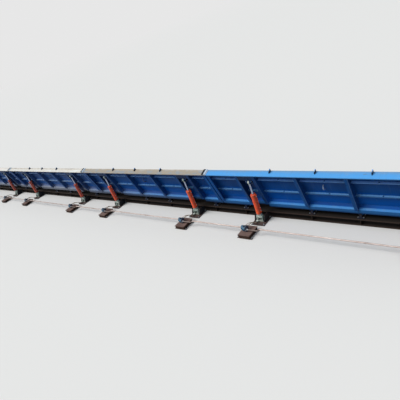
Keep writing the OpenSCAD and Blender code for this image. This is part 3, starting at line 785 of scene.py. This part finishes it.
# cylinders: heights are along the axis from the foot pin, and a bolt is its washer's radius and head's height
barrel = dict(length=0.71, radius=0.07, neck=0.105, neckStart=0.032, cap=0.04, head=0.06, headRadius=0.076,
              bore=0.056, boreStart=0.15, rodHole=0.0285, eye=0.048, eyeWidth=0.062, pin=0.0251,
              pipe=0.008, pipeX=0.088, ports=(0.16, 0.66), port=0.036, portHalf=0.015, union=(0.024, 0.018),
              clips=(0.3, 0.51), clipHalf=0.016, clipRise=0.011, grommet=(0.0125, 0.01),
              band=(0.0695, 0.0722), bandRise=0.009, screws=8, screwRing=0.063, screw=(0.010, 0.008))
piston = dict(start=0.575, length=0.05, radius=0.0559, rod=0.028, rodEnd=0.054, eye=0.045, eyeWidth=0.028,
              pin=0.0246, eyeHole=0.0245)


def barrelShape():
    # tube with its head and bore, then the ports, the oil pipe and its clips
    r, head, bore, hole = barrel["radius"], barrel["headRadius"], barrel["bore"], barrel["rodHole"]
    base, top = barrel["neck"], barrel["length"]
    foot, under = base + barrel["cap"], top - barrel["head"]
    cap = head - 0.003
    soft = 0.004
    bm = turned([
        (0, base), (cap - soft, base), (cap, base + soft), (cap, foot - soft),
        (cap - soft * 0.5, foot - soft * 0.3), (r + 0.0035, foot + 0.002), (r, foot + 0.007),
        (r, under - 0.006), (r + 0.003, under - 0.002),
        (head - 0.002, under), (head, under + 0.003), (head, under + 0.02), (head - 0.003, under + 0.022),
        (head - 0.003, under + 0.026), (head, under + 0.028), (head, top - soft), (head - soft, top),
        (0.05, top), (0.048, top + 0.008), (0.04, top + 0.011), (hole + 0.002, top + 0.012),
        (hole, top + 0.010), (hole, under), (bore, under), (bore, barrel["boreStart"]),
        (0, barrel["boreStart"])], 56)
    pipeX, half = barrel["pipeX"], barrel["portHalf"]
    for z in barrel["ports"]:
        box(bm, (bore + 0.005, -half, z), (pipeX + 0.012, half, z + barrel["port"]), 0.003)
    half, rise = barrel["clipHalf"], barrel["clipRise"]
    for z in barrel["clips"]:
        box(bm, (r - 0.003, -half, z - rise), (pipeX + 0.001, half, z + rise), 0.002)
    low, high = barrel["ports"]
    post(bm, low + 0.02, high + 0.01, barrel["pipe"], 16, x=pipeX)
    (inner, outer), rise = barrel["band"], barrel["bandRise"]
    band = keepShape(turned([(inner, -rise), (outer, -rise), (outer, rise), (inner, rise)], 40, closed=True))
    for z in barrel["clips"]:
        stamp(bm, band, at(0, 0, z))
    return keepShape(bm)


def eyeShape(width, hole, radius):
    # a bushed eye across X
    lip = 0.004
    bm = turned([(hole, -width), (radius - lip, -width), (radius, -width + lip), (radius, width - lip),
                 (radius - lip, width), (hole, width)], 40, closed=True)
    bmesh.ops.rotate(bm, cent=(0, 0, 0), matrix=Matrix.Rotation(math.pi / 2, 3, "Y"), verts=bm.verts)
    return keepShape(bm)


def neckShape():
    wide, deep = barrel["eyeWidth"], barrel["eye"] - 0.006
    bm = bmesh.new()
    box(bm, (-wide, -deep, barrel["neckStart"]), (wide, deep, barrel["neck"] + 0.0005), 0.007, 3)
    stamp(bm, eyeShape(wide, barrel["pin"], barrel["eye"]))
    return keepShape(bm)


def lineShape():
    # union nuts at the ports, and grommets in the clips of the oil pipe
    bm = bmesh.new()
    radius, rise = barrel["grommet"]
    union = bolt(*barrel["union"], washer=False)
    low, high = barrel["ports"]
    for z in (low + barrel["port"], high - barrel["union"][1]):
        stamp(bm, union, at(barrel["pipeX"], 0, z))
    for z in barrel["clips"]:
        post(bm, z - rise, z + rise, radius, 20, x=barrel["pipeX"])
    return keepShape(bm)


def headScrews():
    bm = bmesh.new()
    screw = bolt(*barrel["screw"], washer=False)
    for turn in around(barrel["screws"]):
        stamp(bm, screw, turn @ at(barrel["screwRing"], 0, barrel["length"]))
    return keepShape(bm)


def shaftShape():
    r, start = piston["rod"], piston["start"]
    back, end = start + piston["length"], cylinder["reach"] - piston["rodEnd"]
    return keepShape(turned([
        (0, start), (piston["radius"], start), (piston["radius"], back), (r, back), (r, end - 0.002),
        (r - 0.002, end), (0, end)], 56))


def rodEyeShape():
    # collar, eye and the middle of the pin at the rod's end
    z = cylinder["reach"]
    bm = turned([(0, z - 0.055), (0.034, z - 0.055), (0.036, z - 0.053), (0.036, z - 0.044),
                 (0.033, z - 0.04), (0.03, z - 0.03), (0.026, z - 0.02), (0, z - 0.02)], 32)
    centre = at(0, 0, z)
    stamp(bm, eyeShape(piston["eyeWidth"], piston["eyeHole"], piston["eye"]), centre)
    pin = bmesh.new()
    half = piston["eyeWidth"] - 0.001
    post(pin, -half, half, piston["pin"], 32)
    stamp(bm, keepShape(pin), centre @ turnTo((1, 0, 0)))
    return keepShape(bm)


def makeCylinders():
    # name of the piece, its shape, its paint, and the body it rides on
    shapes = [
        ("barrels", barrelShape(), "barrel", "barrels"),
        ("barrel_eyes", neckShape(), "pale", "barrels"),
        ("barrel_lines", lineShape(), "line", "barrels"),
        ("barrel_fixings", headScrews(), "zinc", "barrels"),
        ("rods", shaftShape(), "rod", "rods"),
        ("rod_eyes", rodEyeShape(), "pale", "rods"),
    ]
    for i in leafNumbers:
        places = [cylinderPlace(i, side) for side in (-1, 1)]
        for name, shape, paint, body in shapes:
            piece = repeat(f"{name}_{i}", shape, places, paint, f"{body}{i}")
            if name == body:
                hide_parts(f"leaf{i}_{name}")
    print("cylinders dressed")


makeCylinders()

# welds along the ribs, rails and ledges; the bays of the cylinders have no top rail
weld = dict(radius=0.0048, ripple=0.013, swell=1.22, gap=0.002, cylinderBays=(1, 5))


def bead(length):
    # a weld bead along Z with its ripples
    bm = bmesh.new()
    ring = bmesh.ops.create_circle(bm, segments=6, radius=weld["radius"])["verts"]
    bmesh.ops.contextual_create(bm, geom=ring)
    edges = list(bm.edges)
    count = max(2, round(length / weld["ripple"]))
    for k in range(count):
        made = bmesh.ops.extrude_edge_only(bm, edges=edges)["geom"]
        ring = [g for g in made if isinstance(g, bmesh.types.BMVert)]
        edges = [g for g in made if isinstance(g, bmesh.types.BMEdge)]
        centre = sum((v.co for v in ring), Vector()) / len(ring)
        swell = weld["swell"] if k % 2 == 0 else 1 / weld["swell"]
        bmesh.ops.scale(bm, vec=(swell, swell, 1), verts=ring, space=at(*-centre))
        bmesh.ops.translate(bm, vec=(0, 0, length / count), verts=ring)
    bmesh.ops.contextual_create(bm, geom=edges)
    bmesh.ops.recalc_face_normals(bm, faces=bm.faces)
    return keepShape(bm)


def makeWelds():
    skinN = gate["depth"] - gate["skin"]
    ledgeN = gate["beamSet"] + gate["ledge"]
    low = gate["beamH"] + gate["slope"]
    high = gate["height"] - gate["capT"]
    half, gap = gate["ribT"] / 2, weld["gap"]
    upright = bead(high - low - 2 * gap)
    alongX = Matrix.Rotation(math.pi / 2, 4, "Y")
    for i in leafNumbers:
        place = leafPlace(i)
        bm = bmesh.new()
        webs = [leafEnd(i, -1) + half, *gate["ribX"], leafEnd(i, 1) - half]
        for k, x in enumerate(webs):
            for side in (-1, 1):
                outside = (k == 0 and side < 0) or (k == len(webs) - 1 and side > 0)
                if not outside:
                    stamp(bm, upright, place @ at(x + side * half, skinN, low + gap))
        for k, (x0, x1) in enumerate(zip(webs, webs[1:])):
            across = bead(x1 - x0 - 2 * (half + gap))
            spots = [(skinN, low), (ledgeN, gate["beamH"])]
            for height in gate["rails"][:1] if k in weld["cylinderBays"] else gate["rails"]:
                spots += [(skinN, height + half), (skinN, height - half)]
            for n, t in spots:
                stamp(bm, across, place @ at(x0 + half + gap, n, t) @ alongX)
        finishPiece(f"welds_{i}", bm, "skin", f"leaf{i}")
    print("welds run")


makeWelds()

# bolts on the bed, in fours: their middle, half the ways between them, and what they stand on
bedBolt = dict(
    anchor=(0.024, 0.018),
    stud=0.02,
    small=(0.018, 0.011),
    frame=dict(x=0, y=-0.335, halfX=0.173, halfY=0.18, top=0.02),
    clevis=dict(x=0, y=-0.335, halfX=0.1, halfY=0.055, top=0.045),
    plinth=dict(x=-0.065, y=-0.94, halfX=0.203, halfY=0.175, top=0.012),
    bearing=dict(x=0, y=0, halfX=0.062, halfY=0.056, top=0.19),
)


def fourBolts(bm, shape, x, spot):
    for sx in (-1, 1):
        for sy in (-1, 1):
            place = (x + spot["x"] + sx * spot["halfX"], spot["y"] + sy * spot["halfY"], spot["top"])
            stamp(bm, shape, at(*place))


def makeBedBolts():
    bm = bmesh.new()
    anchor = bolt(*bedBolt["anchor"], stud=bedBolt["stud"])
    small = bolt(*bedBolt["small"])
    for x in cylinderX:
        fourBolts(bm, anchor, x, bedBolt["frame"])
        fourBolts(bm, small, x, bedBolt["clevis"])
        fourBolts(bm, anchor, x, bedBolt["plinth"])
    for i in leafNumbers:
        for x in gate["hingeX"]:
            fourBolts(bm, small, leafX(i) + x, bedBolt["bearing"])
    finishPiece("bed_bolts", bm, "zinc", "base")
    print("bed bolts set")


makeBedBolts()

# clamp bar that holds the bottom seal on the upstream side
sealClamp = dict(y=0.13, t=0.008, low=0.283, high=0.325, joint=0.012, edge=0.0015, bolt=(0.017, 0.01),
                 step=0.25)


def makeSealClamp():
    bars = bmesh.new()
    bolts = bmesh.new()
    head = bolt(*sealClamp["bolt"])
    front, back = sealClamp["y"], sealClamp["y"] + sealClamp["t"]
    low, high = sealClamp["low"], sealClamp["high"]
    for i in leafNumbers:
        x0 = jointX(i - 1) + sealClamp["joint"]
        x1 = jointX(i) - sealClamp["joint"]
        box(bars, (x0, front, low), (x1, back, high), sealClamp["edge"], 1)
        count = round((x1 - x0) / sealClamp["step"])
        for k in range(count):
            spot = (x0 + (k + 0.5) * (x1 - x0) / count, back, (low + high) / 2)
            stamp(bolts, head, at(*spot) @ turnTo((0, 1, 0)))
    finishPiece("seal_clamp", bars, "clamp", "base")
    finishPiece("seal_clamp_bolts", bolts, "zinc", "base")
    print("bottom seal clamped")


makeSealClamp()

# bolts of the side seals' clamp bars, and keeper plates over the ends of the rod pins
leafBolt = dict(size=(0.018, 0.011), inset=0.02, proud=0.018, first=0.09, step=0.145, count=8)
keeper = dict(x=0.0795, drop=0.004, half=(0.004, 0.012, 0.034), edge=0.0015, screw=(0.012, 0.008),
              screwZ=0.024)


def makeLeafBolts():
    head = bolt(*leafBolt["size"])
    screw = bolt(*keeper["screw"])
    half = Vector(keeper["half"])
    bm = bmesh.new()
    box(bm, -half, half, keeper["edge"], 1)
    plate = keepShape(bm)
    back = gate["depth"] + leafBolt["proud"]
    pinN, pinH = cylinder["pinN"], cylinder["pinH"] - keeper["drop"]
    for i in leafNumbers:
        place = leafPlace(i)
        bm = bmesh.new()
        for side in (-1, 1):
            x = leafEnd(i, side) - side * leafBolt["inset"]
            for k in range(leafBolt["count"]):
                spot = (x, back, leafBolt["first"] + k * leafBolt["step"])
                stamp(bm, head, place @ at(*spot) @ turnTo((0, 1, 0)))
            for face in (-1, 1):
                spot = (side * cylinder["x"] + face * keeper["x"], pinN, pinH)
                boss = place @ at(*spot)
                stamp(bm, plate, boss)
                for z in (-keeper["screwZ"], keeper["screwZ"]):
                    spot = (face * half.x, 0, z)
                    stamp(bm, screw, boss @ at(*spot) @ turnTo((face, 0, 0)))
        finishPiece(f"leaf_bolts_{i}", bm, "zinc", f"leaf{i}")
    print("leaf bolts set")


makeLeafBolts()

# at each joint a black bulb seal lies along one crest plate's end, and a white wear strip along the next
crestJoint = dict(t=0.01, low=1.19, plate=1.226, rightHigh=1.252, leftHigh=1.222, seal=(-0.084, -0.0125),
                  sealHigh=1.262, wear=(-0.024, -0.0005), wearLow=1.216, wearHigh=1.2572,
                  strip=(0.0125, 0.036), stripHigh=1.24, edge=0.002)


def makeCrestJoints():
    near, back = -gate["capLip"], gate["depth"] + gate["capBack"]
    t, low, plate, edge = crestJoint["t"], crestJoint["low"], crestJoint["plate"], crestJoint["edge"]
    for i in leafNumbers:
        left, right = leafEnd(i, -1), leafEnd(i, 1)
        bm = bmesh.new()
        box(bm, (right, near, low), (right + t, back, crestJoint["rightHigh"]), edge, 1)
        box(bm, (left - t, near, low), (left, back, crestJoint["leftHigh"]), edge, 1)
        if i < gate["leaves"]:
            x0, x1 = [right + x for x in crestJoint["seal"]]
            box(bm, (x0, near, plate), (x1, back, crestJoint["sealHigh"]), 0.012, 3)
        repeat(f"crest_seals_{i}", keepShape(bm), [leafPlace(i)], "bulb", f"leaf{i}")
        if i > 1:
            bm = bmesh.new()
            x0, x1 = [left + x for x in crestJoint["wear"]]
            box(bm, (x0, near, crestJoint["wearLow"]), (x1, back, crestJoint["wearHigh"]), edge, 1)
            x0, x1 = [left + x for x in crestJoint["strip"]]
            box(bm, (x0, near, plate), (x1, back, crestJoint["stripHigh"]), 0.003)
            repeat(f"wear_strips_{i}", keepShape(bm), [leafPlace(i)], "wear", f"leaf{i}")
    print("crest joints fitted")


makeCrestJoints()

# valve stations: X is from each cylinder's place along the gate
valve = dict(x=-0.105, y=-0.94, low=0.11, middle=0.172, halfL=0.07, halfW=0.065, portBar=0.228,
             drum=0.062, drumLength=0.075, screws=8, screw=(0.012, 0.007), plug=(0.026, 0.012),
             nut=(0.05, 0.03), capX=0.036, pipeY=-0.906, coupling=0.056, couplingStart=-0.235,
             couplingLength=0.06, rim=0.017)


def makeValves():
    # a flanged drum on the coupling's side, and a manifold that the oil pipe leaves
    r, length, rim = valve["drum"], valve["drumLength"], valve["rim"]
    low, middle, y, pipeY = valve["low"], valve["middle"], valve["y"], valve["pipeY"]
    left, right = valve["x"] - valve["halfL"], valve["x"] + valve["halfL"]
    near, back = y - valve["halfW"], y + valve["halfW"]
    alongX = turnTo((1, 0, 0))
    place = at(left, y, middle) @ alongX
    drums = bmesh.new()
    stamp(drums, keepShape(turned([
        (0, 0.001), (r - 0.003, 0.001), (r, 0.004), (r, 0.015), (r - 0.003, 0.018), (r - 0.008, 0.02),
        (r - 0.008, 0.05), (r - 0.003, 0.052), (r, 0.055), (r, length - 0.003), (r - 0.003, length),
        (r - 0.016, length), (r - 0.018, length - 0.004), (0, length - 0.004)], 44)), place)

    bodies = bmesh.new()
    stamp(bodies, keepShape(turned([
        (0, length - 0.005), (r - 0.019, length - 0.005), (r - 0.021, length + 0.001),
        (0.027, length + 0.003), (0.025, length + 0.012), (0.022, length + 0.014), (0, length + 0.014)], 36)),
        place)
    # foot, manifold, the bar that the hoses enter, and the web behind the drum
    for block in (
        ((left + 0.006, near + 0.018, low), (left + 0.069, back - 0.018, low + 0.032), 0.004),
        ((left + length + 0.008, near + 0.006, low), (right, back - 0.036, low + 0.088), 0.006, 3),
        ((left + 0.014, back - 0.034, middle + 0.012), (right - 0.001, back, valve["portBar"]), 0.004),
        ((left + 0.02, back - 0.05, low + 0.02), (right - 0.006, back - 0.02, middle + 0.02), 0.003),
    ):
        box(bodies, *block)
    cap = keepShape(turned([
        (0, 0), (0.022, 0), (0.023, 0.002), (0.023, 0.016), (0.019, 0.019), (0.018, 0.03), (0.015, 0.033),
        (0.009, 0.034), (0.008, 0.044), (0, 0.045)], 28))
    stamp(bodies, cap, at(valve["x"] - valve["capX"], y, middle + r - 0.012))
    stamp(bodies, cap, at(valve["x"] + valve["capX"], y - 0.012, low + 0.087))

    steel = bmesh.new()
    screw, plug, nut = [bolt(*valve[kind], washer=False) for kind in ("screw", "plug", "nut")]
    for turn in around(valve["screws"]):
        stamp(steel, screw, place @ turn @ at(r - 0.009, 0, length))
    spot = at(valve["x"] + valve["capX"] + 0.002, near + 0.007, low + 0.05)
    stamp(steel, plug, spot @ turnTo((0, -1, 0)))
    start = valve["couplingStart"]
    for spot in ((start - 0.03, pipeY, middle), (right - 0.002, 2 * y - pipeY, middle)):
        stamp(steel, nut, at(*spot) @ alongX)

    rims = bmesh.new()
    inner, outer = valve["coupling"] + 0.004, valve["coupling"] + 0.006
    ring = keepShape(turned([(0.02, 0), (inner, 0), (outer, 0.003), (outer, rim - 0.003), (inner, rim),
                             (0.02, rim)], 40, closed=True))
    for x in (start, start + valve["couplingLength"] - rim):
        stamp(rims, ring, at(x, pipeY, middle) @ alongX)

    stations = [at(x, 0, 0) for x in cylinderX]
    shells = repeat("valve_drums", keepShape(drums), stations, "coupling", "base")
    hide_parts("valve_blocks")
    repeat("valve_manifolds", keepShape(bodies), stations, "valve", "base")
    repeat("valve_fittings", keepShape(steel), stations, "zinc", "base")
    repeat("coupling_rims", keepShape(rims), stations, "coupling", "base")
    print("valves built")


makeValves()

# a plain pale floor that fades into the backdrop, and soft light; the gate itself sees a dull river bed
stage = dict(size=400, floor=(0.80, 0.80, 0.79, 1), floorRough=0.9, backdrop=(0.80, 0.80, 0.80, 1),
             fade=(30, 150), bed=(0.16, 0.145, 0.13, 1), sky=(0.90, 0.95, 1.0, 1), skyStrength=0.46,
             lamp=2.3, lampSpread=math.radians(40), lampColor=(1.0, 0.98, 0.95),
             lampFrom=(-0.45, -0.42, 0.79))


def floorAndLight():
    bm = bmesh.new()
    bmesh.ops.create_grid(bm, x_segments=1, y_segments=1, size=stage["size"])
    mesh = keepShape(bm, "floor")
    add("floor", mesh)
    f = Finish("floor", gloss=0.1)
    f.skin.inputs["Base Color"].default_value = stage["floor"]
    f.skin.inputs["Roughness"].default_value = stage["floorRough"]
    x, y = f.parts()[:2]
    away = ((x * x + y * y) ** 0.5).within(*stage["fade"])
    far = f.node("Emission", {}, {"Color": stage["backdrop"], "Strength": 1.0})
    shown = f.node("MixShader", {}, {0: away, 1: Signal(f, f.skin.outputs[0]), 2: far})
    camera, glossy, through = [f.node("LightPath", out=f"Is {ray} Ray")
                               for ray in ("Camera", "Glossy", "Transmission")]
    bed = f.node("BsdfDiffuse", {}, {"Color": stage["bed"]})
    f.show(camera.most(glossy).most(through), bed, shown, "Material Output")
    mesh.materials.append(f.material)

    world = bpy.data.worlds.new("sky")
    bpy.context.scene.world = world
    world.use_nodes = True
    sky = Shader(world.node_tree)
    camera, through = [sky.node("LightPath", out=f"Is {ray} Ray") for ray in ("Camera", "Transmission")]
    soft = sky.node("Background", {}, {"Color": stage["sky"], "Strength": stage["skyStrength"]})
    behind = sky.node("Background", {}, {"Color": stage["backdrop"]})
    sky.show(camera.most(through), soft, behind, "World Output")

    lamp = bpy.data.lights.new("sky_lamp", "SUN")
    lamp.energy = stage["lamp"]
    lamp.angle = stage["lampSpread"]
    lamp.color = stage["lampColor"]
    sun = add("sky_lamp", lamp)
    sun.rotation_mode = "QUATERNION"
    sun.rotation_quaternion = Vector(stage["lampFrom"]).to_track_quat("Z", "Y")
    bpy.context.scene.view_settings.view_transform = "Standard"


floorAndLight()
print("floor and light set")
